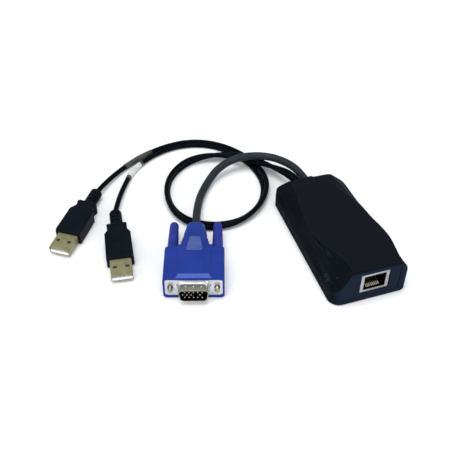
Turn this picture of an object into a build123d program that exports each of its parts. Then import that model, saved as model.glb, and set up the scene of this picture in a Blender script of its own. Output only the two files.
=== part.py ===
"""KVM dongle: a moulded housing with a network jack, a video plug and two USB plugs on cables.

Millimetres. The origin is under the middle of the housing, +Z is up, -Y is the network jack's
end and +Y the cables' end.
"""
from build123d import *
from math import cos, pi, radians, sin, tan
import os

os.makedirs("parts", exist_ok=True)

# Housing, outside
case_length = 88.0
case_width = 44.4
blank_height = 24.0
wall = 2.0
front_left_radius = 6.5
front_right_radius = 5.0
back_radius = 4.0
top_front_rounding = 1.8
top_back_rounding = 0.7
side_lean = -0.03
# The crowned top as a share of the length from the jack's end, and height
crown = [(0.0, 22.3), (0.09, 22.5), (0.27, 21.4), (0.5, 19.2), (0.73, 17.7), (0.91, 15.9), (1.0, 14.2)]

# Housing flanks: share of the length, then foot, middle and upper edge as (distance in from the side, z)
left_flank = [
    (-0.02, (0.2, 7.6), (4.2, 12.9), (8.6, 22.5)),
    (0.23, (0.2, 7.5), (3.5, 13.0), (7.0, 21.6)),
    (0.5, (0.1, 7.5), (1.8, 13.2), (3.2, 19.2)),
    (0.66, (0.0, 7.5), (1.6, 12.4), (4.8, 18.2)),
    (0.84, (0.0, 7.5), (1.5, 11.8), (7.6, 16.8)),
    (1.02, (0.0, 7.5), (1.5, 11.3), (11.1, 14.4)),
]
right_flank = [
    (-0.02, (0.0, 11.0), (1.0, 16.0), (3.3, 20.6)),
    (0.23, (0.0, 10.5), (1.9, 16.5), (3.1, 20.8)),
    (0.34, (0.0, 10.2), (2.1, 16.4), (3.4, 20.5)),
    (0.5, (0.0, 9.8), (3.9, 17.6), (4.7, 18.6)),
    (0.66, (0.0, 9.0), (4.9, 16.3), (7.5, 17.9)),
    (0.84, (0.0, 7.8), (6.3, 14.1), (11.6, 16.6)),
    (1.02, (0.0, 5.6), (7.5, 12.2), (14.9, 14.2)),
]
flank_reach = 8.0
flank_inset_share = 0.8

# Finger grip: three grooves that widen towards the jack's end. Each has a back and a front centre,
# as distances in from the left side and from the jack's end, and height, and a front radius
grip_grooves = [
    ((1.6, 48.0, 13.0), (1.9, 6.0, 9.8), 3.7),
    ((2.3, 43.0, 15.8), (4.7, 6.0, 14.1), 3.5),
    ((3.2, 40.0, 18.2), (6.9, 6.6, 19.0), 4.2),
]
groove_depth = 1.15
groove_lean = (-0.87, 0.49)

# Joint between the covers, and the slots that free its snaps
tray_height = 3.4
cover_gap = 0.4
lip_thickness = 0.9
lip_height = 1.8
tray_edge = 0.6
lip_clearance = 0.1
snap_slots = [(21.0, 7.4), (-24.9, 8.0)]
snap_slot_height = 0.8
snap_slot_depth = 1.3
front_line_distance = 6.4
front_line_top = 20.6
front_line_width = 0.5
front_line_depth = 1.1

# Screws and the bosses that they draw together
screw_side_distance = 7.5
screw_back_distance = 11.0
screw_jack_gap = 1.6
boss_radius = 2.9
screw_radius = 1.1
screw_clearance_radius = 1.4
screw_head_radius = 2.1
screw_head_height = 1.4
screw_seat_depth = 1.7
screw_seat_radius = 2.5
screw_end = 11.2
pilot_spare = 0.4
recess_width = 0.5
recess_length = 2.4
recess_depth = 0.8

# Circuit board
board_bottom = 4.7
board_thickness = 1.6
board_top = board_bottom + board_thickness
board_side_gap = 3.0
board_front_gap = 2.6
board_back_gap = 6.0
board_corner = 4.0

# Network jack
jack_x = 1.35
jack_width = 16.3
jack_height = 13.4
jack_depth = 16.0
jack_recess = 0.5
shield_wall = 0.3
shield_rim = 0.5
jack_mouth_width = 12.6
jack_mouth_height = 10.2
jack_mouth_bottom = 1.5
cavity_width = 11.8
cavity_height = 7.8
cavity_bottom = 1.9
cavity_depth = 12.0
latch_widths = [6.6, 4.2]
latch_step = 1.0
jack_gap = 0.25
contact_count = 8
contact_pitch = 1.02
contact_width = 0.42
contact_thickness = 0.3
contact_start = 1.0
contact_foot = 1.4
contact_reach = 9.5
contact_rise = 2.6

# Pieces on the board
processor_place = (-0.7, 2.0)
processor_size = 10.0
processor_legs = 8
video_chip_place = (-7.7, 18.0)
video_chip_size = 5.2
video_chip_legs = 6
chip_height = 1.5
chip_bevel = 0.25
leg_width = 0.4
leg_pitch = 0.8
leg_reach = 1.0
leg_height = 0.5
crystal_side_distance = 10.9
crystal_y = 14.0
crystal_length = 10.0
crystal_width = 4.2
crystal_height = 3.4
crystal_rounding = 0.5
header_width = 14.0
header_depth = 4.5
header_height = 6.4
header_bevel = 0.5
header_distance = 2.0

# Cable outlet
grommet_x = -2.7
grommet_width = 13.0
grommet_top = 12.9
grommet_corner = 1.5
grommet_reach = 2.5
grommet_flange = 1.4
grommet_overlap = 1.2
outlet_clearance = 0.05
vga_outlet = (-0.2, 9.0)
usb_right_outlet = (-5.7, 8.0)
usb_left_outlet = (-5.7, 11.15)

# Cables. A course's points are across, back from the grommet's face, and up
vga_cable_diameter = 4.8
usb_cable_diameter = 3.0
bend_share = 0.45
usb_right_course = [
    (-6.7, 8.5, 7.1), (-12.95, 25.25, 4.25), (-23.95, 39.25, 5.25), (-41.2, 49.25, 3.25),
    (-59.2, 50.0, 1.5), (-75.7, 39.0, 1.5), (-83.2, 21.5, 1.5), (-80.95, 2.5, 1.5),
    (-67.2, -11.0, 1.5), (-47.7, -14.0, 1.5), (-31.2, -4.5, 1.5), (-22.45, 12.5, 1.5),
    (-22.95, 31.0, 1.5), (-30.45, 48.75, 1.5), (-43.7, 62.0, 1.5), (-61.2, 67.25, 1.6),
    (-79.7, 63.5, 1.9), (-96.2, 53.0, 1.9), (-106.2, 37.5, 2.1), (-113.7, 21.0, 3.75),
]
usb_left_course = [
    (-6.2, 8.5, 10.6), (-15.45, 23.75, 6.75), (-27.95, 36.75, 4.5), (-44.2, 47.5, 5.25),
    (-62.7, 48.5, 4.75), (-77.7, 36.0, 4.75), (-84.45, 18.0, 5.0), (-82.45, -1.0, 3.25),
    (-68.2, -14.5, 1.5), (-49.2, -16.75, 3.25), (-32.2, -7.5, 4.75), (-21.45, 8.5, 4.5),
    (-18.95, 26.5, 2.25), (-24.45, 45.0, 1.5), (-36.2, 60.5, 1.5), (-52.2, 69.5, 1.6),
    (-70.7, 69.5, 1.9), (-89.2, 63.5, 1.9), (-104.7, 54.0, 2.1), (-118.2, 41.0, 3.75),
]
vga_course = [
    (-0.7, 10.5, 9.0), (-4.95, 20.75, 9.0), (-13.2, 29.0, 9.5), (-24.45, 33.25, 9.75),
    (-36.2, 34.25, 9.0), (-47.7, 30.75, 6.5), (-57.2, 22.5, 3.5), (-64.2, 12.5, 3.25),
    (-69.2, 1.0, 5.5), (-73.2, -10.5, 7.5),
]

# Video plug, measured in its own frame: across, back from its face, and up
vga_x = -89.2
vga_distance = -60.8
vga_turn = -17.7
hood_width = 32.8
hood_height = 15.0
hood_depth = 25.2
hood_corner = 2.2
hood_rear_chamfer = 1.5
raised_width = 19.2
raised_height = 0.8
raised_start = 0.4
raised_bevel = 2.6
raised_side_bevel = 1.4
slope_start = 19.0
neck_drop = 1.1
neck_front_width = 17.2
neck_shoulder = 37.0
neck_front_bottom = 0.4
neck_back_width = 12.0
neck_back_bottom = 1.6
collar_width = 10.6
collar_height = 10.8
collar_end_width = 9.4
collar_end_height = 9.2
neck_end = 46.0
neck_corner = 2.6
neck_rounding = 1.0
pad_front = 0.8
pad_back = 13.2
pad_corner = 0.8
pad_front_width = 9.6
pad_back_width = 5.8
pad_proud = 0.3
flange_width = 30.8
flange_height = 12.5
flange_thickness = 0.8
flange_face = 0.5
flange_corner = 1.6
dshell_width = 16.9
dshell_height = 8.36
dshell_side_angle = 10.0
dshell_corner = 2.4
dshell_wall = 0.35
dshell_reach = 6.0
dimple_radius = 0.9
dimple_depth = 0.22
dimple_pitch = 4.1
dimple_distance = 2.9
insulator_face = -0.8
insulator_back = 9.0
insulator_block_width = 18.4
insulator_block_height = 9.6
insulator_gap = 0.05
pin_radius = 0.38
pin_pitch = 2.29
pin_row_pitch = 1.98
pin_tip = -5.0
pin_point = 0.25
pin_end = 8.0
knob_offset = 12.5
knob_front = 25.5
knob_end = 49.7
knob_base_radius = 3.25
knob_tip_radius = 2.6
rod_radius = 1.42
rod_bore_radius = 1.5
flange_hole_radius = 1.6
rod_point = 0.4
rod_tip = -2.2
rod_end = 40.0

# USB plugs, in the same kind of frame: across, back from the grommet's face, and turn
usb_right_place = (-123.2, -38.6, -7.6)
usb_left_place = (-152.8, -8.3, -34.4)
usb_shell_width = 12.0
usb_shell_height = 4.5
usb_axis_height = 4.05
usb_shell_wall = 0.3
usb_shell_length = 19.0
usb_window_width = 2.2
usb_window_length = 2.0
usb_window_x = 3.4
usb_window_y = 6.5
usb_shell_corner = 0.5
tongue_height = 1.85
tongue_recess = 0.3
tongue_length = 9.0
usb_contact_start = 1.2
usb_contact_pitch = 2.2
usb_contact_width = 1.1
usb_contact_count = 4
usb_contact_thickness = 0.2
mould_front = 12.0
mould_height = 8.1
mould_front_height = 7.1
mould_rear_height = 7.5
mould_bevel_end = 13.2
mould_rounding = 0.7
mould_front_width = 15.2
mould_rear_width = 14.8
mould_shoulder = 31.3
mould_neck = 35.0
mould_collar_proud = 0.6
mould_notch_end = 36.6
mould_collar_start = 37.4
mould_collar_width = 11.6
mould_collar_end = 39.2
mould_end = 40.0
relief_radius = 3.6
relief_end = 52.4
relief_rounding = 1.2
relief_grooves = 3
relief_first_groove = 2.6
relief_groove_width = 1.1
relief_groove_pitch = 3.1
relief_groove_depth = 0.45

# Wrap labels, as lengths along their cable from the housing
label_thickness = 0.3
left_label_span = (318.0, 340.0)
right_label_span = (317.5, 333.5)

# Values that several pieces share
half_length = case_length / 2
half_width = case_width / 2
joint_line = tray_height + cover_gap
board_front = -half_length + board_front_gap
board_back = half_length - board_back_gap
crystal_place = (half_width - board_side_gap - crystal_side_distance, crystal_y)
jack_face = -half_length + jack_recess
jack_back = jack_face + jack_depth
jack_sides = (jack_x - jack_width / 2, jack_x + jack_width / 2)
jack_top = board_top + jack_height
front_line_x = half_width - front_line_distance
screw_x = half_width - screw_side_distance
front_screw_y = jack_back + screw_jack_gap + boss_radius
back_screw_y = half_length - screw_back_distance
screw_places = [(x, y) for x in (-screw_x, screw_x) for y in (front_screw_y, back_screw_y)]
outlet_sides = (
    grommet_x - grommet_width / 2 - outlet_clearance,
    grommet_x + grommet_width / 2 + outlet_clearance,
)
outlet_top = grommet_top + outlet_clearance
grommet_face = half_length + grommet_reach
grommet_inner = half_length - wall - grommet_flange
header_back = board_back - header_distance
mould_neck_width = mould_collar_width - 2 * mould_collar_proud


def keep(piece, label):
    """Labels a finished piece and writes it."""
    piece.part.label = label
    export_step(piece.part, f"parts/{label}.step")


def plan_outline(height, inset):
    """The housing's outline seen from above, moved in by the inset."""
    with BuildSketch(Plane.XY.offset(height)) as plan:
        Rectangle(case_width - 2 * inset, case_length - 2 * inset)
        fillet(plan.vertices().group_by(Axis.Y)[-1], back_radius - inset)
        fillet(plan.vertices().group_by(Axis.Y)[0].sort_by(Axis.X)[0], front_left_radius - inset)
        fillet(plan.vertices().group_by(Axis.Y)[0].sort_by(Axis.X)[-1], front_right_radius - inset)
    return plan.sketch


def flank_cut(stations, side, inset):
    """Waste outside one flank, lofted through its stations, the flank moved in by the inset."""
    shift = flank_inset_share * inset
    with BuildPart() as waste:
        for share, *profile in stations:
            foot, middle, edge = [
                Vector(side * (half_width - distance - shift), height - shift)
                for distance, height in profile
            ]
            low = foot + (foot - middle).normalized() * flank_reach
            high = edge + (edge - middle).normalized() * flank_reach
            far = Vector(side * (half_width + flank_reach), blank_height + flank_reach)
            with BuildSketch(Plane.XZ.offset(half_length - share * case_length)):
                with BuildLine():
                    Polyline(low, middle, high, far, close=True)
                make_face()
        loft()
    return waste.part


def case_form(inset):
    """The housing's outer form, or its hollow where it is inset by the wall."""
    left_waste = flank_cut(left_flank, -1, inset)
    right_waste = flank_cut(right_flank, 1, inset)
    outline = plan_outline(inset, inset)
    with BuildPart() as form:
        extrude(outline, amount=blank_height)
        with BuildSketch(Plane.YZ) as profile:
            with BuildLine():
                top = Spline([(share * case_length - half_length, height - inset) for share, height in crown])
                Polyline(top @ 0, (-half_length, -blank_height), (half_length, -blank_height), top @ 1)
            make_face()
            fillet(profile.vertices().group_by(Axis.X)[0].sort_by(Axis.Y)[-1], top_front_rounding)
            fillet(profile.vertices().group_by(Axis.X)[-1].sort_by(Axis.Y)[-1], top_back_rounding)
        extrude(amount=case_width, dir=(1, 0, side_lean), both=True, mode=Mode.INTERSECT)
        add(left_waste, mode=Mode.SUBTRACT)
        add(right_waste, mode=Mode.SUBTRACT)
    return form.part


def grip_cut(back, front, radius):
    """One grip groove's waste: a cone that widens from its point to a round front end."""
    outward = Vector(groove_lean[0], 0, groove_lean[1])
    corner = Vector(-half_width, -half_length, 0)
    start = corner + Vector(*back)
    course = corner + Vector(*front) + outward * (radius - groove_depth) - start
    with BuildPart() as waste:
        with BuildSketch(Plane(origin=start, x_dir=course, z_dir=course.cross(outward))):
            with BuildLine():
                Line((0, 0), (course.length, radius))
                CenterArc((course.length, 0), radius, 0, 90)
                Line((course.length + radius, 0), (0, 0))
            make_face()
        revolve(axis=Axis(start, course))
    return waste.part


def posts(radius, bottom, top):
    """Four round posts on the screws' centres."""
    with BuildPart() as group:
        with BuildSketch(Plane.XY.offset(bottom)):
            with Locations(*screw_places):
                Circle(radius)
        extrude(amount=top - bottom)
    return group.part


def block(x_range, y_range, z_range):
    """A plain block between two values along each axis."""
    with BuildPart() as plain:
        with BuildSketch(Plane.XY.offset(z_range[0])):
            with Locations((sum(x_range) / 2, sum(y_range) / 2)):
                Rectangle(x_range[1] - x_range[0], y_range[1] - y_range[0])
        extrude(amount=z_range[1] - z_range[0])
    return plain.part


# Upper cover: the crowned shell with its grip grooves, bosses, jack opening and cable outlet
outer_form = case_form(0)
hollow = case_form(wall)
grooves = [grip_cut(back, front, radius) for back, front, radius in grip_grooves]
jack_opening = block(
    (jack_sides[0] - jack_gap, jack_sides[1] + jack_gap),
    (-case_length, jack_back + jack_gap),
    (board_top - jack_gap, jack_top + jack_gap),
)
outlet = block(outlet_sides, (grommet_inner, case_length), (tray_height, outlet_top))
front_line = block(
    (front_line_x - front_line_width / 2, front_line_x + front_line_width / 2),
    (-half_length, -half_length + front_line_depth),
    (joint_line, front_line_top),
)
slots = [
    block(x_range, (centre - length / 2, centre + length / 2), (joint_line, joint_line + snap_slot_height))
    for centre, length in snap_slots
    for x_range in (
        (-half_width - wall, snap_slot_depth - half_width),
        (half_width - snap_slot_depth, half_width + wall),
    )
]
pilot_holes = posts(screw_radius, board_top, screw_end + pilot_spare)

with BuildPart() as boss_cores:
    add(posts(boss_radius, board_top, blank_height))
    add(outer_form, mode=Mode.INTERSECT)

with BuildPart() as top_cover:
    add(outer_form)
    add(hollow, mode=Mode.SUBTRACT)
    add(boss_cores.part)
    add(grooves, mode=Mode.SUBTRACT)
    extrude(plan_outline(0, -wall), amount=joint_line, mode=Mode.SUBTRACT)
    rebate = plan_outline(joint_line, wall - lip_thickness - lip_clearance)
    extrude(rebate, amount=lip_height - cover_gap + lip_clearance, mode=Mode.SUBTRACT)
    add([jack_opening, outlet, front_line, pilot_holes], mode=Mode.SUBTRACT)
    add(slots, mode=Mode.SUBTRACT)
keep(top_cover, "top_cover")

# Lower cover: a tray with a lip inside the joint, and bosses that carry the board
with BuildPart() as bottom_cover:
    extrude(plan_outline(0, 0), amount=tray_height)
    chamfer(bottom_cover.faces().sort_by(Axis.Z)[0].edges(), tray_edge)
    extrude(plan_outline(tray_height, wall - lip_thickness), amount=lip_height)
    extrude(plan_outline(wall, wall), amount=blank_height, mode=Mode.SUBTRACT)
    add(outlet, mode=Mode.SUBTRACT)
    add(posts(boss_radius, wall, board_bottom))
    add(posts(screw_clearance_radius, 0, blank_height), mode=Mode.SUBTRACT)
    add(posts(screw_seat_radius, 0, screw_seat_depth), mode=Mode.SUBTRACT)
keep(bottom_cover, "bottom_cover")

# Screws from below, with crossed recesses
with BuildPart() as case_screws:
    head_bottom = screw_seat_depth - screw_head_height
    add(posts(screw_head_radius, head_bottom, screw_seat_depth))
    add(posts(screw_radius, screw_seat_depth, screw_end))
    with BuildSketch(Plane.XY.offset(head_bottom)):
        with Locations(*screw_places):
            Rectangle(recess_length, recess_width)
            Rectangle(recess_width, recess_length)
    extrude(amount=recess_depth, mode=Mode.SUBTRACT)
keep(case_screws, "case_screws")

# Circuit board between the bosses
with BuildPart() as circuit_board:
    with BuildSketch(Plane.XY.offset(board_bottom)):
        with Locations((0, (board_front + board_back) / 2)):
            RectangleRounded(case_width - 2 * board_side_gap, board_back - board_front, board_corner)
        with Locations(*screw_places):
            Circle(screw_clearance_radius, mode=Mode.SUBTRACT)
    extrude(amount=board_thickness)
keep(circuit_board, "circuit_board")


def chip(place, size, legs, leg_pairs):
    """A flat chip with rows of legs on one or two pairs of its sides."""
    with BuildPart() as package:
        with BuildSketch(Plane.XY.offset(board_top)):
            with Locations(place):
                Rectangle(size, size)
        extrude(amount=chip_height)
        chamfer(package.faces().sort_by(Axis.Z)[-1].edges(), chip_bevel)
        with BuildSketch(Plane.XY.offset(board_top)):
            with Locations(place):
                for pair in range(leg_pairs):
                    with Locations(Location((0, 0), 90 * pair)):
                        with GridLocations(0, leg_pitch, 1, legs):
                            Rectangle(size + 2 * leg_reach, leg_width)
        extrude(amount=leg_height)
    return package


keep(chip(processor_place, processor_size, processor_legs, 2), "processor_chip")
keep(chip(video_chip_place, video_chip_size, video_chip_legs, 1), "video_chip")

with BuildPart() as crystal:
    with BuildSketch(Plane.XY.offset(board_top)):
        with Locations(crystal_place):
            SlotOverall(crystal_length, crystal_width)
    extrude(amount=crystal_height)
    fillet(crystal.faces().sort_by(Axis.Z)[-1].edges(), crystal_rounding)
keep(crystal, "crystal")

# Header at the cable end of the board, and the jackets' ends between it and the grommet
with BuildPart() as cable_header:
    add(block(
        (grommet_x - header_width / 2, grommet_x + header_width / 2),
        (header_back - header_depth, header_back),
        (board_top, board_top + header_height),
    ))
    chamfer(cable_header.edges().filter_by(Axis.Z), header_bevel)
keep(cable_header, "cable_header")

outlets = [
    (vga_outlet, vga_cable_diameter),
    (usb_right_outlet, usb_cable_diameter),
    (usb_left_outlet, usb_cable_diameter),
]
with BuildPart() as cable_tails:
    with BuildSketch(Plane.XZ.offset(-header_back)):
        for centre, diameter in outlets:
            with Locations(centre):
                Circle(diameter / 2)
    extrude(amount=header_back - grommet_inner)
keep(cable_tails, "cable_tails")

# Network jack: a metal can, a black body with a stepped cavity, and eight springs
with BuildPart() as jack_shield:
    add(block(jack_sides, (jack_face, jack_back), (board_top, jack_top)))
    add(block(
        (jack_sides[0] + shield_wall, jack_sides[1] - shield_wall),
        (jack_face + shield_rim, jack_back - shield_wall),
        (board_top + shield_wall, jack_top - shield_wall),
    ), mode=Mode.SUBTRACT)
    mouth_bottom = board_top + jack_mouth_bottom
    add(block(
        (jack_x - jack_mouth_width / 2, jack_x + jack_mouth_width / 2),
        (jack_face - shield_rim, jack_face + shield_rim),
        (mouth_bottom, mouth_bottom + jack_mouth_height),
    ), mode=Mode.SUBTRACT)
keep(jack_shield, "jack_shield")

cavity_floor = board_top + cavity_bottom
cavity_top = cavity_floor + cavity_height
cavity_back = jack_face + shield_rim + cavity_depth
with BuildPart() as jack_body:
    add(block(
        (jack_sides[0] + shield_wall, jack_sides[1] - shield_wall),
        (jack_face + shield_rim, jack_back - shield_wall),
        (board_top + shield_wall, jack_top - shield_wall),
    ))
    add(block(
        (jack_x - cavity_width / 2, jack_x + cavity_width / 2),
        (jack_face, cavity_back),
        (cavity_floor, cavity_top),
    ), mode=Mode.SUBTRACT)
    for count, width in enumerate(latch_widths, 1):
        add(block(
            (jack_x - width / 2, jack_x + width / 2),
            (jack_face, cavity_back),
            (cavity_floor, cavity_top + count * latch_step),
        ), mode=Mode.SUBTRACT)
keep(jack_body, "jack_body")

# Each spring lies on the cavity's floor and then rises towards the back
spring_front = jack_face + shield_rim + contact_start
spring_bend = spring_front + contact_foot
spring_end = spring_front + contact_reach
with BuildPart() as jack_contacts:
    for number in range(contact_count):
        centre = jack_x + (number - (contact_count - 1) / 2) * contact_pitch
        with BuildSketch(Plane.YZ.offset(centre)):
            with BuildLine():
                Polyline(
                    (spring_front, cavity_floor),
                    (spring_bend, cavity_floor),
                    (spring_end, cavity_floor + contact_rise),
                    (spring_end, cavity_floor + contact_rise + contact_thickness),
                    (spring_bend, cavity_floor + contact_thickness),
                    (spring_front, cavity_floor + contact_thickness),
                    close=True,
                )
            make_face()
    extrude(amount=contact_width / 2, both=True)
keep(jack_contacts, "jack_contacts")

# Grommet: a neck in the outlet between an inner flange and a rounded outer collar
with BuildPart() as cable_grommet:
    add(block(
        (outlet_sides[0] + outlet_clearance, outlet_sides[1] - outlet_clearance),
        (grommet_inner, half_length),
        (tray_height, grommet_top),
    ))
    add(block(
        (outlet_sides[0] - grommet_overlap, outlet_sides[1] + grommet_overlap),
        (grommet_inner, half_length - wall),
        (tray_height + lip_height + lip_clearance, grommet_top),
    ))
    with BuildSketch(Plane.XZ.offset(-half_length)):
        with Locations((grommet_x, (tray_height + grommet_top) / 2)):
            RectangleRounded(grommet_width, grommet_top - tray_height, grommet_corner)
    extrude(amount=-grommet_reach)
    fillet(cable_grommet.faces().sort_by(Axis.Y)[-1].edges(), grommet_corner / 2)
keep(cable_grommet, "cable_grommet")


def lay_cable(name, points, diameter):
    """A round cable on straight runs joined by the widest arcs that the runs allow."""
    radii = []
    for before, corner, after in zip(points, points[1:], points[2:]):
        arrive = Vector(corner) - Vector(before)
        leave = Vector(after) - Vector(corner)
        turn = radians(arrive.get_angle(leave))
        radii.append(bend_share * min(arrive.length, leave.length) / tan(turn / 2))
    with BuildPart() as cable:
        with BuildLine() as route:
            FilletPolyline(*points, radius=radii)
        with BuildSketch(Plane(origin=route.line @ 0, z_dir=route.line % 0)):
            Circle(diameter / 2)
        sweep()
    line = route.wires()[0]
    section_volume = line.length * pi * diameter**2 / 4
    print(name, "length", round(line.length, 1), "radii", [round(radius, 1) for radius in radii])
    print(name, "volume over section times length", round(cable.part.volume / section_volume, 4))
    keep(cable, name)
    return line


def wrap_label(name, wire, span, diameter):
    """A thin sleeve round a cable between two lengths along it."""
    stretch = wire.trim(span[0] / wire.length, span[1] / wire.length)
    with BuildPart() as label:
        with BuildSketch(Plane(origin=stretch @ 0, z_dir=stretch % 0)):
            Circle(diameter / 2 + label_thickness)
            Circle(diameter / 2, mode=Mode.SUBTRACT)
        sweep(path=stretch)
    keep(label, name)


def plug_planes(x, y, turn):
    """A plug's planes: its face, seen from in front, and its plan and side, all from its mouth."""
    across = Vector(cos(radians(turn)), sin(radians(turn)), 0)
    back = Vector(-sin(radians(turn)), cos(radians(turn)), 0)
    face = Plane(origin=(x, y, 0), x_dir=across, z_dir=-back)
    plan = Plane(origin=(x, y, 0), x_dir=across, z_dir=(0, 0, 1))
    side = Plane(origin=(x, y, 0), x_dir=back, z_dir=across)
    return face, plan, side


# Video plug
vga_face, vga_plan, vga_side = plug_planes(vga_x, grommet_face + vga_distance, vga_turn)
vga_middle = hood_height / 2
flange_back = flange_face + flange_thickness
raised_top = hood_height + raised_height
slope_drop = raised_height + neck_drop
slope_length = neck_shoulder - slope_start
neck_front_top = raised_top - slope_drop * (hood_depth - slope_start) / slope_length
neck_back_top = raised_top - slope_drop
knob_places = {"left": -knob_offset, "right": knob_offset}
screw_spots = [(place, vga_middle) for place in knob_places.values()]

# The hood's raised middle, with bevels in front and along its sides, and a slope at the back
with BuildPart() as raised_middle:
    with BuildSketch(vga_side):
        with BuildLine():
            Polyline(
                (raised_start, hood_height),
                (raised_start + raised_bevel, raised_top),
                (slope_start, raised_top),
                (hood_depth, neck_front_top),
                (hood_depth, vga_middle),
                (raised_start, vga_middle),
                close=True,
            )
        make_face()
    extrude(amount=raised_width / 2, both=True)
    with BuildSketch(vga_face):
        with BuildLine():
            Polyline(
                (0, vga_middle),
                (raised_width / 2, vga_middle),
                (raised_width / 2, hood_height),
                (raised_width / 2 - raised_side_bevel, raised_top),
                (0, raised_top),
            )
            mirror(about=Plane.YZ)
        make_face()
    extrude(amount=-hood_depth, mode=Mode.INTERSECT)

with BuildPart() as vga_hood:
    with BuildSketch(vga_face):
        with Locations((0, vga_middle)):
            RectangleRounded(hood_width, hood_height, hood_corner)
    extrude(amount=-hood_depth)
    rear = vga_hood.faces().sort_by(Axis(vga_face.origin, -vga_face.z_dir))[-1]
    chamfer(rear.edges().filter_by(Axis.Z), hood_rear_chamfer)
    add(raised_middle.part)
    # Neck, then the collar that the cable leaves
    with BuildSketch(vga_face.offset(-hood_depth)):
        with Locations((0, (neck_front_top + neck_front_bottom) / 2)):
            RectangleRounded(neck_front_width, neck_front_top - neck_front_bottom, neck_corner)
    with BuildSketch(vga_face.offset(-neck_shoulder)):
        with Locations((0, (neck_back_top + neck_back_bottom) / 2)):
            RectangleRounded(neck_back_width, neck_back_top - neck_back_bottom, neck_corner)
    loft()
    with BuildSketch(vga_face.offset(-neck_shoulder)):
        with Locations((0, vga_middle)):
            RectangleRounded(collar_width, collar_height, neck_corner)
    with BuildSketch(vga_face.offset(-neck_end)):
        with Locations((0, vga_middle)):
            RectangleRounded(collar_end_width, collar_end_height, neck_corner)
    loft()
    end = vga_hood.faces().sort_by(Axis(vga_face.origin, -vga_face.z_dir))[-1]
    fillet(end.edges(), neck_rounding)
    # Grip pad on the slope
    slope = vga_plan.y_dir * slope_length - vga_plan.z_dir * slope_drop
    slope_plane = Plane(
        origin=vga_side.from_local_coords((slope_start, raised_top, 0)),
        x_dir=vga_plan.x_dir,
        z_dir=vga_plan.x_dir.cross(slope),
    )
    with BuildSketch(slope_plane.offset(-pad_proud)):
        with BuildLine():
            Polyline(
                (-pad_front_width / 2, pad_front),
                (pad_front_width / 2, pad_front),
                (pad_back_width / 2, pad_back),
                (-pad_back_width / 2, pad_back),
                close=True,
            )
        pad_face = make_face()
        fillet(pad_face.vertices(), pad_corner)
    extrude(amount=2 * pad_proud)
    # Seats for the flange and the insulator's block, and the thumbscrews' bores
    with BuildSketch(vga_face):
        with Locations((0, vga_middle)):
            RectangleRounded(
                flange_width + 2 * insulator_gap,
                flange_height + 2 * insulator_gap,
                flange_corner + insulator_gap,
            )
    extrude(amount=-flange_back, mode=Mode.SUBTRACT)
    with BuildSketch(vga_face):
        with Locations((0, vga_middle)):
            Rectangle(insulator_block_width, insulator_block_height)
    extrude(amount=-insulator_back, mode=Mode.SUBTRACT)
    with BuildSketch(vga_face):
        with Locations(*screw_spots):
            Circle(rod_bore_radius)
    extrude(amount=-hood_depth, mode=Mode.SUBTRACT)
keep(vga_hood, "vga_hood")


def dshell_outline(plane, inset):
    """The D shape, wide side up, moved in by the inset."""
    with BuildSketch(plane) as outline:
        with Locations((0, vga_middle)):
            width = dshell_width - 2 * inset / cos(radians(dshell_side_angle))
            Trapezoid(width, dshell_height - 2 * inset, 90 - dshell_side_angle, rotation=180)
        fillet(outline.vertices(), dshell_corner - inset)
    return outline.sketch


shell_tube = dshell_outline(vga_face.offset(-flange_back), 0)
shell_hollow = dshell_outline(vga_face.offset(-flange_back), dshell_wall)
shell_length = flange_back + dshell_reach - flange_face
with BuildPart() as vga_shell:
    with BuildSketch(vga_face.offset(-flange_face)):
        with Locations((0, vga_middle)):
            RectangleRounded(flange_width, flange_height, flange_corner)
    extrude(amount=-flange_thickness)
    extrude(shell_tube, amount=shell_length)
    extrude(shell_hollow, amount=shell_length, mode=Mode.SUBTRACT)
    with BuildSketch(vga_face):
        with Locations(*screw_spots):
            Circle(flange_hole_radius)
    extrude(amount=-flange_back, mode=Mode.SUBTRACT)
    # Dimples pressed into the top
    dimple_height = vga_middle + dshell_height / 2 + dimple_radius - dimple_depth
    dimple_plane = vga_plan.offset(dimple_height)
    with Locations(dimple_plane):
        with Locations(*[(number * dimple_pitch, -dimple_distance) for number in (-1, 0, 1)]):
            Sphere(dimple_radius, mode=Mode.SUBTRACT)
keep(vga_shell, "vga_shell")

pin_rows = [
    [(column * pin_pitch, vga_middle + pin_row_pitch) for column in range(-2, 3)],
    [((column - 0.5) * pin_pitch, vga_middle) for column in (-2, -1, 0, 2)],
    [(column * pin_pitch, vga_middle - pin_row_pitch) for column in range(-2, 3)],
]
pin_spots = [spot for row in pin_rows for spot in row]

shell_filling = dshell_outline(vga_face.offset(-flange_back), dshell_wall + insulator_gap)
with BuildPart() as vga_insulator:
    extrude(shell_filling, amount=flange_back - insulator_face)
    with BuildSketch(vga_face.offset(-flange_back)):
        with Locations((0, vga_middle)):
            Rectangle(insulator_block_width, insulator_block_height)
    extrude(amount=flange_back - insulator_back)
    with BuildSketch(vga_face.offset(-insulator_face)):
        with Locations(*pin_spots):
            Circle(pin_radius)
    extrude(amount=insulator_face - pin_end, mode=Mode.SUBTRACT)
keep(vga_insulator, "vga_insulator")

with BuildPart() as vga_pins:
    with BuildSketch(vga_face.offset(-pin_end)):
        with Locations(*pin_spots):
            Circle(pin_radius)
    extrude(amount=pin_end - pin_tip)
    tips = vga_pins.faces().group_by(Axis(vga_face.origin, vga_face.z_dir))[-1]
    chamfer(tips.edges(), pin_point)
keep(vga_pins, "vga_pins")

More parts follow.
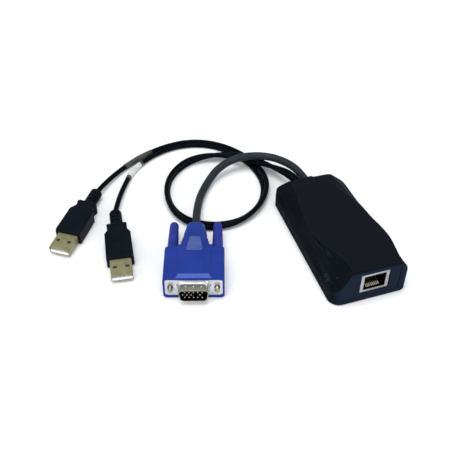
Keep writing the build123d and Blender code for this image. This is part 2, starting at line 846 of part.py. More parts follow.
# Thumbscrews: a moulded knob behind the hood on a steel rod that turns in the hood's bore
for side, place in knob_places.items():
    with BuildPart() as thumbscrew_knob:
        with BuildSketch(vga_plan.offset(vga_middle)):
            with BuildLine():
                Polyline(
                    (place + knob_tip_radius, knob_end - knob_tip_radius),
                    (place + knob_base_radius, knob_front),
                    (place + rod_radius, knob_front),
                    (place + rod_radius, rod_end),
                    (place, rod_end),
                    (place, knob_end),
                )
                CenterArc((place, knob_end - knob_tip_radius), knob_tip_radius, 0, 90)
            make_face()
        spindle = vga_plan.offset(vga_middle).from_local_coords((place, 0, 0))
        revolve(axis=Axis(spindle, vga_plan.y_dir))
    keep(thumbscrew_knob, f"thumbscrew_knob_{side}")
    with BuildPart() as thumbscrew_rod:
        with BuildSketch(vga_face.offset(-rod_end)):
            with Locations((place, vga_middle)):
                Circle(rod_radius)
        extrude(amount=rod_end - rod_tip)
        rod_tip_face = thumbscrew_rod.faces().sort_by(Axis(vga_face.origin, vga_face.z_dir))[-1]
        chamfer(rod_tip_face.edges(), rod_point)
    keep(thumbscrew_rod, f"thumbscrew_rod_{side}")
    print(side, "thumbscrew at", spindle, "along", vga_plan.y_dir)


def usb_plug(side, x, distance, turn):
    """One USB plug's four pieces. Returns where its cable leaves it."""
    face, plan, flank = plug_planes(x, grommet_face + distance, turn)
    hollow_width = usb_shell_width - 2 * usb_shell_wall
    hollow_height = usb_shell_height - 2 * usb_shell_wall
    floor_height = usb_axis_height - hollow_height / 2

    with BuildPart() as shell:
        with BuildSketch(face):
            with Locations((0, usb_axis_height)):
                RectangleRounded(usb_shell_width, usb_shell_height, usb_shell_corner)
                Rectangle(hollow_width, hollow_height, mode=Mode.SUBTRACT)
        extrude(amount=-usb_shell_length)
        with BuildSketch(plan):
            with Locations((-usb_window_x, usb_window_y), (usb_window_x, usb_window_y)):
                Rectangle(usb_window_width, usb_window_length)
        extrude(amount=mould_height, mode=Mode.SUBTRACT)
    keep(shell, f"usb_shell_{side}")

    with BuildPart() as insulator:
        with BuildSketch(face.offset(-tongue_recess)):
            with Locations((0, floor_height + tongue_height / 2)):
                Rectangle(hollow_width, tongue_height)
        extrude(amount=tongue_recess - tongue_length)
        with BuildSketch(face.offset(-tongue_length)):
            with Locations((0, usb_axis_height)):
                Rectangle(hollow_width, hollow_height)
        extrude(amount=tongue_length - usb_shell_length)
    keep(insulator, f"usb_insulator_{side}")

    with BuildPart() as contacts:
        with BuildSketch(face.offset(-usb_contact_start)):
            with Locations((0, floor_height + tongue_height + usb_contact_thickness / 2)):
                with GridLocations(usb_contact_pitch, 0, usb_contact_count, 1):
                    Rectangle(usb_contact_width, usb_contact_thickness)
        extrude(amount=usb_contact_start - tongue_length)
    keep(contacts, f"usb_contacts_{side}")

    with BuildPart() as overmould:
        with BuildSketch(plan):
            with BuildLine():
                Polyline(
                    (0, mould_front),
                    (mould_front_width / 2, mould_front),
                    (mould_rear_width / 2, mould_shoulder),
                    (mould_neck_width / 2, mould_neck),
                    (mould_neck_width / 2, mould_notch_end),
                    (mould_collar_width / 2, mould_collar_start),
                    (mould_collar_width / 2, mould_collar_end),
                    (mould_neck_width / 2, mould_end),
                    (0, mould_end),
                )
                mirror(about=Plane.YZ)
            make_face()
        extrude(amount=mould_height)
        with BuildSketch(flank):
            with BuildLine():
                Polyline(
                    (mould_front, 0),
                    (mould_front, mould_front_height),
                    (mould_bevel_end, mould_height),
                    (mould_shoulder, mould_height),
                    (mould_end, mould_rear_height),
                    (mould_end, 0),
                    close=True,
                )
            make_face()
        extrude(amount=mould_front_width, both=True, mode=Mode.INTERSECT)
        lower = overmould.faces().sort_by(Axis.Z)[0].edges()
        chamfer(lower, mould_rounding)
        # Strain relief with rings
        with BuildSketch(plan.offset(usb_axis_height)):
            with BuildLine():
                Polyline(
                    (0, relief_end),
                    (0, mould_end),
                    (relief_radius, mould_end),
                    (relief_radius, relief_end - relief_rounding),
                )
                RadiusArc(
                    (relief_radius, relief_end - relief_rounding),
                    (relief_radius - relief_rounding, relief_end),
                    -relief_rounding,
                )
                Line((relief_radius - relief_rounding, relief_end), (0, relief_end))
            make_face()
            for ring in range(relief_grooves):
                with Locations((relief_radius, mould_end + relief_first_groove + ring * relief_groove_pitch)):
                    Rectangle(2 * relief_groove_depth, relief_groove_width, mode=Mode.SUBTRACT)
        centre = plan.offset(usb_axis_height).origin
        revolve(axis=Axis(centre, plan.y_dir))
        # Seat for the shell
        with BuildSketch(face):
            with Locations((0, usb_axis_height)):
                RectangleRounded(usb_shell_width, usb_shell_height, usb_shell_corner)
        extrude(amount=-usb_shell_length, mode=Mode.SUBTRACT)
    keep(overmould, f"usb_overmould_{side}")
    return plan.offset(usb_axis_height).from_local_coords((0, relief_end, 0))


usb_ends = {"left": usb_plug("left", *usb_left_place), "right": usb_plug("right", *usb_right_place)}
neck_exit = vga_plan.offset(vga_middle).from_local_coords((0, neck_end, 0))


def full_route(outlet_centre, course, plug_end):
    """A cable's points from the grommet's outer face along its course to its plug."""
    start = (outlet_centre[0], 0, outlet_centre[1])
    return [(x, grommet_face + distance, z) for x, distance, z in (start, *course)] + [tuple(plug_end)]


# Cables, each from the grommet to its plug, and the labels wrapped round two of them
left_points = full_route(usb_left_outlet, usb_left_course, usb_ends["left"])
right_points = full_route(usb_right_outlet, usb_right_course, usb_ends["right"])
vga_points = full_route(vga_outlet, vga_course, neck_exit)
left_route = lay_cable("usb_cable_left", left_points, usb_cable_diameter)
right_route = lay_cable("usb_cable_right", right_points, usb_cable_diameter)
lay_cable("vga_cable", vga_points, vga_cable_diameter)
wrap_label("wrap_label_left", left_route, left_label_span, usb_cable_diameter)
wrap_label("wrap_label_right", right_route, right_label_span, usb_cable_diameter)
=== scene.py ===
"""Looks of a keyboard, video and mouse dongle: housing, video plug and two USB plugs on cables."""

from math import cos, pi, radians, sin

import bpy
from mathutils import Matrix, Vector


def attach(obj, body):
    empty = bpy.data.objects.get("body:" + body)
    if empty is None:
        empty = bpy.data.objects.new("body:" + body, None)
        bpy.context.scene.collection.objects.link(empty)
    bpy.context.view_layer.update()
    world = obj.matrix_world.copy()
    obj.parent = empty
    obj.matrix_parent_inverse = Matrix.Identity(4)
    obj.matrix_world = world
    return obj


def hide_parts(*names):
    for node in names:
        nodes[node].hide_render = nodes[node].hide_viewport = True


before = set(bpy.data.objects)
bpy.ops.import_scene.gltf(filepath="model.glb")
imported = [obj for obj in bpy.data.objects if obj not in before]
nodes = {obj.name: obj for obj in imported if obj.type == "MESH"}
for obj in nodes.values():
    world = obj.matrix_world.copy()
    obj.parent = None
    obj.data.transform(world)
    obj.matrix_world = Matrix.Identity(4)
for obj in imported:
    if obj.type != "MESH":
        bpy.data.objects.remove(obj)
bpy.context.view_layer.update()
scene = bpy.context.scene
MM = 0.001

# Cables: centre line's points in millimetres, from the grommet to the plug
USB_LEFT_ROUTE = [
    (-5.7, 46.5, 11.15), (-6.2, 55.0, 10.6), (-15.45, 70.25, 6.75), (-27.95, 83.25, 4.5),
    (-44.2, 94.0, 5.25), (-62.7, 95.0, 4.75), (-77.7, 82.5, 4.75), (-84.45, 64.5, 5.0),
    (-82.45, 45.5, 3.25), (-68.2, 32.0, 1.5), (-49.2, 29.75, 3.25), (-32.2, 39.0, 4.75),
    (-21.45, 55.0, 4.5), (-18.95, 73.0, 2.25), (-24.45, 91.5, 1.5), (-36.2, 107.0, 1.5),
    (-52.2, 116.0, 1.6), (-70.7, 116.0, 1.9), (-89.2, 110.0, 1.9), (-104.7, 100.5, 2.1),
    (-118.2, 87.5, 3.75), (-123.196, 81.436, 4.05),
]
USB_RIGHT_ROUTE = [
    (-5.7, 46.5, 8.0), (-6.7, 55.0, 7.1), (-12.95, 71.75, 4.25), (-23.95, 85.75, 5.25),
    (-41.2, 95.75, 3.25), (-59.2, 96.5, 1.5), (-75.7, 85.5, 1.5), (-83.2, 68.0, 1.5),
    (-80.95, 49.0, 1.5), (-67.2, 35.5, 1.5), (-47.7, 32.5, 1.5), (-31.2, 42.0, 1.5),
    (-22.45, 59.0, 1.5), (-22.95, 77.5, 1.5), (-30.45, 95.25, 1.5), (-43.7, 108.5, 1.5),
    (-61.2, 113.75, 1.6), (-79.7, 110.0, 1.9), (-96.2, 99.5, 1.9), (-106.2, 84.0, 2.1),
    (-113.7, 67.5, 3.75), (-116.27, 59.84, 4.05),
]
VGA_ROUTE = [
    (-0.2, 46.5, 9.0), (-0.7, 57.0, 9.0), (-4.95, 67.25, 9.0), (-13.2, 75.5, 9.5),
    (-24.45, 79.75, 9.75), (-36.2, 80.75, 9.0), (-47.7, 77.25, 6.5), (-57.2, 69.0, 3.5),
    (-64.2, 59.0, 3.25), (-69.2, 47.5, 5.5), (-73.2, 36.0, 7.5), (-75.214, 29.522, 7.5),
]
USB_DIAMETER = 3.0
VGA_DIAMETER = 4.8

# Plugs and jack: where the middle of each mouth is, and its turn in degrees
VGA_PLACE = (-89.2, -14.3, -17.7)
USB_PLACES = {"left": (-152.8, 38.2, -34.4), "right": (-123.2, 7.9, -7.6)}
JACK_PLACE = (1.35, -43.5, 0.0)

# Video plug: height of its middle, and how far its thumbscrews stand to each side
VGA_MIDDLE = 7.5
KNOB_OFFSETS = {"left": -12.5, "right": 12.5}

# Camera at the photograph's viewing angle
camera_data = bpy.data.cameras.new("camera")
camera_data.lens = 58.95
camera_data.sensor_width = 36.0
camera = bpy.data.objects.new("camera", camera_data)
camera.location = Vector((-152.57, -268.27, 304.94)) * MM
aim = Vector((-55.565, 31.54, 0.0)) * MM
camera.rotation_euler = (aim - camera.location).to_track_quat("-Z", "Y").to_euler()
scene.collection.objects.link(camera)
scene.camera = camera


def lay_cord(name, route, diameter):
    """A round cord on one smooth line through its route's control points."""
    curve = bpy.data.curves.new(name, "CURVE")
    curve.dimensions = "3D"
    curve.resolution_u = 10
    curve.bevel_resolution = 6
    curve.use_fill_caps = True
    spline = curve.splines.new("NURBS")
    spline.points.add(len(route) - 1)
    for point, place in zip(spline.points, route):
        point.co = (*(Vector(place) * MM), 1.0)
    spline.order_u = 3
    spline.use_endpoint_u = True
    cord = bpy.data.objects.new(name, curve)
    scene.collection.objects.link(cord)
    line = bpy.data.meshes.new_from_object(cord)
    points = [vertex.co.copy() for vertex in line.vertices]
    bpy.data.meshes.remove(line)
    curve.bevel_depth = diameter / 2 * MM
    return cord, points


left_cord, left_line = lay_cord("cord_usb_left", USB_LEFT_ROUTE, USB_DIAMETER)
right_cord, right_line = lay_cord("cord_usb_right", USB_RIGHT_ROUTE, USB_DIAMETER)
vga_cord, _ = lay_cord("cord_video", VGA_ROUTE, VGA_DIAMETER)


# Materials
def surface(
    name, dark, light, patch, grain, height, roughness, metallic=0.0, edge=0.0, sockets=None,
):
    """A solid finish: colour and gloss vary in patches, a fine grain is bump, sizes in metres."""
    material = bpy.data.materials.new(name)
    material.use_nodes = True
    tree = material.node_tree
    shader = tree.nodes["Principled BSDF"]
    place = tree.nodes.new("ShaderNodeTexCoord")

    patches = tree.nodes.new("ShaderNodeTexNoise")
    patches.inputs["Scale"].default_value = 1 / patch
    patches.inputs["Detail"].default_value = 3.0
    tree.links.new(place.outputs["Object"], patches.inputs["Vector"])
    tint = tree.nodes.new("ShaderNodeValToRGB")
    tint.color_ramp.elements[0].position = 0.35
    tint.color_ramp.elements[1].position = 0.65
    tint.color_ramp.elements[0].color = (*dark, 1.0)
    tint.color_ramp.elements[1].color = (*light, 1.0)
    tree.links.new(patches.outputs["Fac"], tint.inputs["Fac"])
    tree.links.new(tint.outputs["Color"], shader.inputs["Base Color"])

    smears = tree.nodes.new("ShaderNodeTexNoise")
    smears.inputs["Scale"].default_value = 2.7 / patch
    smears.inputs["Detail"].default_value = 4.0
    tree.links.new(place.outputs["Object"], smears.inputs["Vector"])
    gloss = tree.nodes.new("ShaderNodeMapRange")
    gloss.inputs["From Min"].default_value = 0.3
    gloss.inputs["From Max"].default_value = 0.7
    gloss.inputs["To Min"].default_value = roughness[0]
    gloss.inputs["To Max"].default_value = roughness[1]
    tree.links.new(smears.outputs["Fac"], gloss.inputs["Value"])
    tree.links.new(gloss.outputs["Result"], shader.inputs["Roughness"])

    pits = tree.nodes.new("ShaderNodeTexNoise")
    pits.inputs["Scale"].default_value = 1 / grain
    pits.inputs["Detail"].default_value = 2.0
    tree.links.new(place.outputs["Object"], pits.inputs["Vector"])
    bump = tree.nodes.new("ShaderNodeBump")
    bump.inputs["Distance"].default_value = height
    bump.inputs["Strength"].default_value = 0.6
    tree.links.new(pits.outputs["Fac"], bump.inputs["Height"])
    if edge:
        rounding = tree.nodes.new("ShaderNodeBevel")
        rounding.samples = 6
        rounding.inputs["Radius"].default_value = edge
        tree.links.new(rounding.outputs["Normal"], bump.inputs["Normal"])
    tree.links.new(bump.outputs["Normal"], shader.inputs["Normal"])

    shader.inputs["Metallic"].default_value = metallic
    for socket, value in (sockets or {}).items():
        shader.inputs[socket].default_value = value
    return material


def place_on(material):
    """Where a point of the surface lies, in metres."""
    return material.node_tree.nodes.new("ShaderNodeTexCoord").outputs["Object"]


def facing_of(material):
    """The way a point of the surface faces."""
    return material.node_tree.nodes.new("ShaderNodeNewGeometry").outputs["True Normal"]


def blend_colour(material, share, colour):
    """Mixes a colour into a finish by a share that another node gives."""
    tree = material.node_tree
    shader = tree.nodes["Principled BSDF"]
    mix = tree.nodes.new("ShaderNodeMix")
    mix.data_type = "RGBA"
    tree.links.new(share, mix.inputs["Factor"])
    tree.links.new(shader.inputs["Base Color"].links[0].from_socket, mix.inputs["A"])
    mix.inputs["B"].default_value = (*colour, 1.0)
    tree.links.new(mix.outputs["Result"], shader.inputs["Base Color"])


def projected(material, vector, direction, low, high):
    """A share that rises from 0 to 1 as a vector's reach along a direction goes from low to high."""
    tree = material.node_tree
    along = tree.nodes.new("ShaderNodeVectorMath")
    along.operation = "DOT_PRODUCT"
    tree.links.new(vector, along.inputs[0])
    if isinstance(direction, tuple):
        along.inputs[1].default_value = direction
    else:
        tree.links.new(direction, along.inputs[1])
    share = tree.nodes.new("ShaderNodeMapRange")
    share.inputs["From Min"].default_value = low
    share.inputs["From Max"].default_value = high
    tree.links.new(along.outputs["Value"], share.inputs["Value"])
    return share.outputs["Result"]


def both(material, first, second):
    """The share that two shares have in common."""
    product = material.node_tree.nodes.new("ShaderNodeMath")
    product.operation = "MULTIPLY"
    material.node_tree.links.new(first, product.inputs[0])
    material.node_tree.links.new(second, product.inputs[1])
    return product.outputs["Value"]


def front_colour(material, place, full, none, colour):
    """Another colour up to one distance back from a mouth, fading out by a second one."""
    x, y, turn = place
    turn = radians(turn)
    back = (-sin(turn), cos(turn), 0.0)
    mouth = cos(turn) * y - sin(turn) * x
    share = projected(material, place_on(material), back, (mouth + none) * MM, (mouth + full) * MM)
    blend_colour(material, share, colour)


BLUISH = (0.55, 0.76, 1.0, 1.0)
UPWARD = (0.0, 0.0, 1.0)
BEVEL_FACING = (-0.0894, -0.280, 0.956)

case_black = surface(
    "case_black", (0.0030, 0.0042, 0.0066), (0.0044, 0.0058, 0.0086), 0.02, 0.00035, 0.000012,
    (0.62, 0.74), edge=0.0004, sockets={"Specular IOR Level": 0.03, "Specular Tint": BLUISH},
)
mould_black = surface(
    "mould_black", (0.0024, 0.0038, 0.0056), (0.0038, 0.0056, 0.0078), 0.008, 0.0003, 0.000014,
    (0.42, 0.54), edge=0.0004, sockets={"Specular IOR Level": 0.055, "Specular Tint": BLUISH},
)
cable_black = surface(
    "cable_black", (0.0014, 0.0018, 0.0034), (0.0024, 0.0030, 0.0052), 0.01, 0.0005, 0.00001,
    (0.36, 0.48), sockets={"Specular IOR Level": 0.035, "Specular Tint": BLUISH},
)
cable_grey = surface(
    "cable_grey", (0.0115, 0.0160, 0.0195), (0.0180, 0.0240, 0.0290), 0.012, 0.0005, 0.00001,
    (0.38, 0.50), sockets={"Specular IOR Level": 0.13},
)
hood_blue = surface(
    "hood_blue", (0.0062, 0.0240, 0.1950), (0.0098, 0.0310, 0.2350), 0.012, 0.0003, 0.000014,
    (0.40, 0.50), edge=0.0005, sockets={"Specular IOR Level": 0.17},
)
pad_blue = surface(
    "pad_blue", (0.0390, 0.0700, 0.2550), (0.0530, 0.0910, 0.3000), 0.004, 0.0002, 0.00003,
    (0.52, 0.64), sockets={"Specular IOR Level": 0.4},
)
knob_blue = surface(
    "knob_blue", (0.0085, 0.0205, 0.1950), (0.0150, 0.0295, 0.2350), 0.006, 0.0003, 0.00001,
    (0.34, 0.44), sockets={"Specular IOR Level": 0.25},
)
shell_steel = surface(
    "shell_steel", (0.50, 0.52, 0.56), (0.62, 0.64, 0.68), 0.004, 0.0004, 0.000003,
    (0.26, 0.36), metallic=0.85, edge=0.0002,
)
jack_steel = surface(
    "jack_steel", (0.34, 0.34, 0.36), (0.45, 0.45, 0.48), 0.005, 0.0004, 0.000006,
    (0.34, 0.46), metallic=1.0, edge=0.0002,
)
usb_steel = surface(
    "usb_steel", (0.215, 0.20, 0.105), (0.305, 0.285, 0.15), 0.006, 0.0003, 0.00001,
    (0.34, 0.46), metallic=0.55, edge=0.0003,
)
# Painted shade: the tabs seen through the USB shells' windows are painted near black
tab_steel_painted_shade = surface(
    "tab_steel_painted_shade", (0.006, 0.003, 0.002), (0.022, 0.012, 0.006), 0.002, 0.0003, 0.00001,
    (0.40, 0.52), metallic=0.2,
)
screw_steel = surface(
    "screw_steel", (0.22, 0.20, 0.15), (0.36, 0.335, 0.26), 0.002, 0.0003, 0.00001,
    (0.24, 0.36), metallic=1.0,
)
part_black = surface(
    "part_black", (0.0016, 0.0018, 0.0022), (0.0028, 0.0030, 0.0035), 0.004, 0.0002, 0.00001,
    (0.60, 0.72), sockets={"Specular IOR Level": 0.03},
)
part_white = surface(
    "part_white", (0.80, 0.81, 0.83), (0.88, 0.88, 0.89), 0.005, 0.0003, 0.000008, (0.42, 0.52),
)
contact_gold = surface(
    "contact_gold", (0.80, 0.62, 0.30), (0.95, 0.80, 0.46), 0.002, 0.0003, 0.000005,
    (0.20, 0.30), metallic=0.3,
)
board_green = surface(
    "board_green", (0.010, 0.070, 0.030), (0.018, 0.110, 0.050), 0.003, 0.0004, 0.00001, (0.3, 0.42),
)
sleeve_clear = surface(
    "sleeve_clear", (0.022, 0.026, 0.022), (0.070, 0.076, 0.066), 0.002, 0.0008, 0.00005,
    (0.20, 0.34), sockets={"Specular IOR Level": 0.4},
)
label_white = surface(
    "label_white", (0.50, 0.50, 0.48), (0.62, 0.62, 0.60), 0.006, 0.0009, 0.00003, (0.36, 0.48),
)
# Painted light on the video plug's pins: their shafts are painted dark as shade, and their tips
# lighter where light catches them
pin_steel_painted_shade = surface(
    "pin_steel_painted_shade", (0.018, 0.016, 0.013), (0.030, 0.027, 0.022), 0.001, 0.0002, 0.000004, (0.34, 0.46),
)
front_colour(pin_steel_painted_shade, VGA_PLACE, -4.86, -4.6, (0.38, 0.38, 0.37))
front_colour(shell_steel, VGA_PLACE, -1.3, -0.7, (0.38, 0.36, 0.27))
# Painted shade on the jack's contacts: dark deeper in the jack, their own gold only near its mouth
jack_gold_painted_shade = surface(
    "jack_gold_painted_shade", (0.020, 0.015, 0.007), (0.034, 0.026, 0.012), 0.002, 0.0003, 0.000005, (0.20, 0.30),
)
front_colour(jack_gold_painted_shade, JACK_PLACE, 2.7, 3.7, (0.95, 0.86, 0.58))

# Painted shade inside the video plug's shell: where it is low down and facing up, the steel is
# painted dark
low_down = projected(shell_steel, place_on(shell_steel), UPWARD, 0.0075, 0.0060)
turned_up = projected(shell_steel, facing_of(shell_steel), UPWARD, 0.1, 0.3)
blend_colour(shell_steel, both(shell_steel, low_down, turned_up), (0.010, 0.010, 0.011))

# A painted highlight lightens the bevel in front of the hood's raised middle
bevel_highlight = projected(hood_blue, facing_of(hood_blue), BEVEL_FACING, 0.975, 0.995)
blend_colour(hood_blue, bevel_highlight, (0.038, 0.078, 0.340))

# Painted light on the housing: its front is painted a lighter blue as if lit by a bluish fill, its
# top greyer as a painted reflection, and its edges get a painted thin line of light
true_normal = facing_of(case_black)
front_painted_light = projected(case_black, true_normal, (0.0, -1.0, 0.0), 0.6, 0.95)
blend_colour(case_black, front_painted_light, (0.0084, 0.0130, 0.0275))
top_painted_reflection = projected(case_black, true_normal, UPWARD, 0.93, 0.99)
blend_colour(case_black, top_painted_reflection, (0.0058, 0.0070, 0.0086))
rounded = next(node for node in case_black.node_tree.nodes if node.type == "BEVEL")
at_edge = projected(case_black, rounded.outputs["Normal"], true_normal, 0.985, 0.94)
blend_colour(case_black, at_edge, (0.0135, 0.0175, 0.0260))

NODE_FINISH = {
    "top_cover": case_black, "bottom_cover": case_black, "case_screws": screw_steel,
    "circuit_board": board_green, "processor_chip": part_black, "video_chip": part_black,
    "crystal": jack_steel, "cable_header": part_white, "cable_tails": cable_black,
    "jack_shield": jack_steel, "jack_body": part_black, "jack_contacts": jack_gold_painted_shade,
    "cable_grommet": mould_black, "vga_hood": hood_blue, "vga_shell": shell_steel,
    "vga_insulator": part_black, "vga_pins": pin_steel_painted_shade,
}
for side in ("left", "right"):
    NODE_FINISH[f"thumbscrew_rod_{side}"] = screw_steel
    NODE_FINISH[f"usb_overmould_{side}"] = mould_black
    NODE_FINISH[f"usb_shell_{side}"] = usb_steel
    NODE_FINISH[f"usb_insulator_{side}"] = part_white
    NODE_FINISH[f"usb_contacts_{side}"] = contact_gold
for name, finish in NODE_FINISH.items():
    for held in nodes[name].material_slots:
        held.material = finish


# Pieces in mesh code
def plug_point(place, across, back, up):
    """A point of a plug's own frame as a place in millimetres."""
    x, y, turn = place
    turn = radians(turn)
    return Vector((
        x + across * cos(turn) - back * sin(turn),
        y + across * sin(turn) + back * cos(turn),
        up,
    ))


def piece(name, points, faces, finish, body, smooth=True):
    """A mesh piece from points in millimetres, riding on a body."""
    mesh = bpy.data.meshes.new(name)
    mesh.from_pydata([Vector(point) * MM for point in points], [], faces)
    mesh.validate()
    mesh.materials.append(finish)
    mesh.shade_smooth() if smooth else mesh.shade_flat()
    made = bpy.data.objects.new(name, mesh)
    scene.collection.objects.link(made)
    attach(made, body)
    return made


def rings_to_faces(rows, around, closed_ends=True):
    """Faces between rings of points, with a cap at each end."""
    faces = []
    for row in range(rows - 1):
        for step in range(around):
            following = (step + 1) % around
            low, high = row * around, (row + 1) * around
            faces.append((low + step, low + following, high + following, high + step))
    if closed_ends:
        faces.append(tuple(reversed(range(around))))
        faces.append(tuple(range((rows - 1) * around, rows * around)))
    return faces


def stretch_of(line, start, end, rows):
    """Evenly spaced points of a line between two shares of its length, with their directions."""
    lengths = [0.0]
    for before, after in zip(line, line[1:]):
        lengths.append(lengths[-1] + (after - before).length)
    found = []
    for row in range(rows):
        wanted = lengths[-1] * (start + (end - start) * row / (rows - 1))
        index = next(i for i in range(1, len(line)) if lengths[i] >= wanted or i == len(line) - 1)
        step = line[index] - line[index - 1]
        share = (wanted - lengths[index - 1]) / step.length
        found.append(((line[index - 1] + step * share) / MM, step.normalized()))
    return found


def sleeve(name, line, start, end, radius, ripple, finish):
    """A thin sleeve on a cord, gathered a little where it shrank."""
    rows, around = 36, 40
    points = []
    for row, (centre, along) in enumerate(stretch_of(line, start, end, rows)):
        side = along.cross(Vector((0, 0, 1))).normalized()
        up = side.cross(along)
        edge = min(row, rows - 1 - row)
        for step in range(around):
            angle = 2 * pi * step / around
            fold = ripple * (sin(3 * angle + 0.35 * row) * 0.5 + sin(5 * angle - 0.2 * row) * 0.5)
            size = radius + fold - (0.05 if edge == 0 else 0.0)
            points.append(centre + (side * cos(angle) + up * sin(angle)) * size)
    return piece(name, points, rings_to_faces(rows, around), finish, "dongle")


left_sleeve = sleeve(
    "sleeve_left", left_line, 0.858, 0.9175, USB_DIAMETER / 2 + 0.22, 0.06,
    sleeve_clear,
)
right_sleeve = sleeve(
    "sleeve_right", right_line, 0.8598, 0.9085, USB_DIAMETER / 2 + 0.18, 0.04,
    sleeve_clear,
)
right_wrap = sleeve(
    "wrap_right", right_line, 0.8653, 0.902, USB_DIAMETER / 2 + 0.27, 0.02,
    label_white,
)
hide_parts("wrap_label_left")
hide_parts("wrap_label_right")


def ribbed_knob(side):
    """A tapered thumbscrew knob with shallow ribs along it and a round end."""
    around, ribs, rib_depth = 168, 28, 0.11
    profile = [(25.5, 2.7, 0.0), (25.5, 3.1, 0.0), (25.65, 3.24, 0.0), (26.9, 3.2, 0.0)]
    for step in range(12):
        share = step / 11
        cut = min(1.0, 4 * share, 4 * (1 - share))
        profile.append((27.2 + 18.7 * share, 3.19 - 0.56 * share, cut))
    profile.append((46.8, 2.6, 0.0))
    for step in range(1, 8):
        angle = pi / 2 * step / 8
        profile.append((47.1 + 2.6 * sin(angle), 2.6 * cos(angle), 0.0))
    points = []
    for back, radius, cut in profile:
        for step in range(around):
            angle = 2 * pi * step / around
            size = radius - rib_depth * cut * (0.5 - 0.5 * cos(ribs * angle))
            across = KNOB_OFFSETS[side] + size * cos(angle)
            points.append(plug_point(VGA_PLACE, across, back, VGA_MIDDLE + size * sin(angle)))
    knob = piece(
        f"knob_{side}", points, rings_to_faces(len(profile), around), knob_blue,
        f"{side}_thumbscrew",
    )
    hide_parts(f"thumbscrew_knob_{side}")


ribbed_knob("left")
ribbed_knob("right")


def threaded_rod(side):
    """A thumbscrew's steel rod with a cut thread at its tip."""
    around, pitch = 48, 0.6
    profile = [(-2.2, 0.7), (-2.2, 1.0)]
    for turn in range(12):
        start = -1.9 + pitch * turn
        profile += [(start, 1.16), (start + 0.24, 1.41), (start + 0.36, 1.41), (start + 0.58, 1.16)]
    profile += [(5.6, 1.41), (38.0, 1.41)]
    points = []
    for back, radius in profile:
        for step in range(around):
            angle = 2 * pi * step / around
            across = KNOB_OFFSETS[side] + radius * cos(angle)
            points.append(plug_point(VGA_PLACE, across, back, VGA_MIDDLE + radius * sin(angle)))
    rod = piece(
        f"rod_{side}", points, rings_to_faces(len(profile), around), screw_steel,
        f"{side}_thumbscrew",
    )
    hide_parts(f"thumbscrew_rod_{side}")


threaded_rod("left")
threaded_rod("right")


def shell_bead():
    """The rounded bead where the video plug's D shell rises from its flange."""
    half_top, half_height, radius, lean = 8.45, 4.18, 2.4, radians(10)
    profile = [
        (-0.05, -1.0), (0.14, -0.9), (0.32, -0.6), (0.52, -0.2), (0.85, 0.15), (1.15, 0.52),
    ]
    reach = half_top * cos(lean) - half_height * sin(lean) - radius
    outline = []
    for high in (1, -1):
        up = high * (half_height - radius)
        across = (reach + up * sin(lean)) / cos(lean)
        angles = (pi / 2, -lean) if high > 0 else (-lean, -pi / 2)
        for step in range(13):
            angle = angles[0] + (angles[1] - angles[0]) * step / 12
            outline.append((across, up, cos(angle), sin(angle)))
    outline += [(-across, up, -side, rise) for across, up, side, rise in reversed(outline)]
    points = []
    for out, back in profile:
        size = radius + out
        for across, up, side, rise in outline:
            height = VGA_MIDDLE + up + size * rise
            points.append(plug_point(VGA_PLACE, across + size * side, back, height))
    faces = rings_to_faces(len(profile), len(outline), closed_ends=False)
    return piece("shell_bead", points, faces, shell_steel, "dongle")


bead = shell_bead()


def hood_collar():
    """The flared collar that the video cable leaves, with a step where it meets the neck."""
    around = 64
    profile = [
        (36.3, 5.5, 5.3), (36.45, 6.25, 5.85), (37.3, 6.5, 6.0), (38.6, 6.35, 5.9),
        (41.0, 5.85, 5.6), (44.0, 5.4, 5.15), (45.6, 5.05, 4.85), (46.05, 4.5, 4.3),
        (46.15, 3.4, 3.3), (46.15, 2.3, 2.3),
    ]
    points = []
    for back, half_width, half_height in profile:
        corner = min(3.4, half_width, half_height)
        for step in range(around):
            angle = 2 * pi * (step + 0.5) / around
            across = (half_width - corner) * (1 if cos(angle) > 0 else -1) + corner * cos(angle)
            up = (half_height - corner) * (1 if sin(angle) > 0 else -1) + corner * sin(angle)
            points.append(plug_point(VGA_PLACE, across, back, VGA_MIDDLE + up))
    faces = rings_to_faces(len(profile), around, closed_ends=False)
    return piece("hood_collar", points, faces, hood_blue, "dongle")


collar = hood_collar()


def grip_pad():
    """The textured pad on the hood's slope: rounded corners and a field of small pyramids."""
    columns, rows = 40, 52
    start, end, front_width, back_width, corner = 0.8, 13.2, 9.8, 5.9, 1.7
    slope_start, slope_top, drop = 19.0, 15.8, 1.9 / 18.0
    pad_height = 0.3
    points = []
    for row in range(rows):
        share = row / (rows - 1)
        along = start + (end - start) * share
        half = (front_width + (back_width - front_width) * share) / 2
        near = min(along - start, end - along)
        if near < corner:
            half -= corner - (corner**2 - (corner - near) ** 2) ** 0.5
        for column in range(columns):
            across = half * (2 * column / (columns - 1) - 1)
            border = column in (0, columns - 1) or row in (0, rows - 1)
            stud = 0.16 if (row % 2 and column % 2) else 0.04
            height = 0.0 if border else pad_height + stud
            up = slope_top - drop * along + height
            points.append(plug_point(VGA_PLACE, across, slope_start + along, up))
    faces = []
    for row in range(rows - 1):
        for column in range(columns - 1):
            first = row * columns + column
            faces.append((first, first + 1, first + columns + 1, first + columns))
    return piece("hood_grip_pad", points, faces, pad_blue, "dongle", smooth=False)


pad = grip_pad()


def window_tabs(side):
    """The two sprung tabs under the windows of a USB shell."""
    points, faces = [], []
    shares = (0.0, 0.25, 0.5, 0.75, 1.0)
    for middle in (-3.4, 3.4):
        for share in shares:
            back = 7.55 - 1.2 * share
            top = 6.15 - 0.9 * share**1.4
            half = 0.6 - 0.1 * share
            for across, up in ((-half, top), (half, top), (half, top - 0.2), (-half, top - 0.2)):
                points.append(plug_point(USB_PLACES[side], middle + across, back, up))
    for first in (0, 4 * len(shares)):
        faces += [tuple(first + i for i in face) for face in rings_to_faces(len(shares), 4)]
    return piece(f"usb_tabs_{side}", points, faces, tab_steel_painted_shade, "dongle", smooth=False)


tabs = {side: window_tabs(side) for side in ("left", "right")}

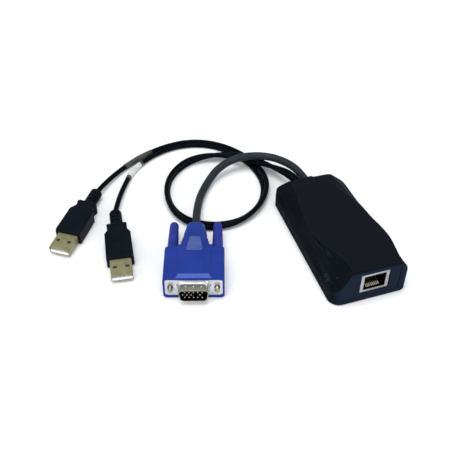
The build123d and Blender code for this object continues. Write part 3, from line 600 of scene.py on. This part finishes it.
# What is said about the cords
for cord, finish, slot, cad in (
    (left_cord, cable_black, "cable_black", "usb_cable_left"),
    (right_cord, cable_black, "cable_black", "usb_cable_right"),
    (vga_cord, cable_grey, "cable_black", "vga_cable"),
):
    cord.data.materials.append(finish)
    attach(cord, "dongle")
    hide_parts(cad)


# Floor, light and surroundings
floor_mesh = bpy.data.meshes.new("floor")
floor_mesh.from_pydata([(-6, -6, 0), (6, -6, 0), (6, 6, 0), (-6, 6, 0)], [], [(0, 1, 2, 3)])
floor = bpy.data.objects.new("floor", floor_mesh)
floor_mesh.materials.append(surface(
    "floor_pale", (0.88, 0.88, 0.88), (0.91, 0.91, 0.91), 0.4, 0.01, 0.00001, (0.7, 0.8),
    sockets={"Specular IOR Level": 0.2},
))
scene.collection.objects.link(floor)


def soft_light(name, place, size, power):
    """A square soft light aimed at the object."""
    light = bpy.data.lights.new(name, "AREA")
    light.size = size
    light.energy = power
    lamp = bpy.data.objects.new(name, light)
    lamp.location = place
    toward = Vector((-0.05, 0.03, 0)) - lamp.location
    lamp.rotation_euler = toward.to_track_quat("-Z", "Y").to_euler()
    scene.collection.objects.link(lamp)


soft_light("key_left", (-1.1, -0.35, 0.9), 1.3, 7.0)
soft_light("top", (-0.15, 0.0, 1.9), 1.2, 25.0)
soft_light("front", (0.35, -1.4, 0.75), 0.8, 9.0)

world = bpy.data.worlds.new("surroundings")
world.use_nodes = True
scene.world = world
sky = world.node_tree.nodes
sky_links = world.node_tree.links
direction = sky.new("ShaderNodeTexCoord")
parts = sky.new("ShaderNodeSeparateXYZ")
ramp = sky.new("ShaderNodeValToRGB")
ramp.color_ramp.elements[0].position = 0.0
ramp.color_ramp.elements[0].color = (0.46, 0.48, 0.50, 1.0)
ramp.color_ramp.elements[1].position = 0.85
ramp.color_ramp.elements[1].color = (0.28, 0.30, 0.34, 1.0)
middle = ramp.color_ramp.elements.new(0.45)
middle.color = (0.66, 0.68, 0.70, 1.0)
sky_links.new(direction.outputs["Generated"], parts.inputs["Vector"])
sky_links.new(parts.outputs["Z"], ramp.inputs["Fac"])
sky_links.new(ramp.outputs["Color"], sky["Background"].inputs["Color"])
scene.view_settings.view_transform = "Standard"
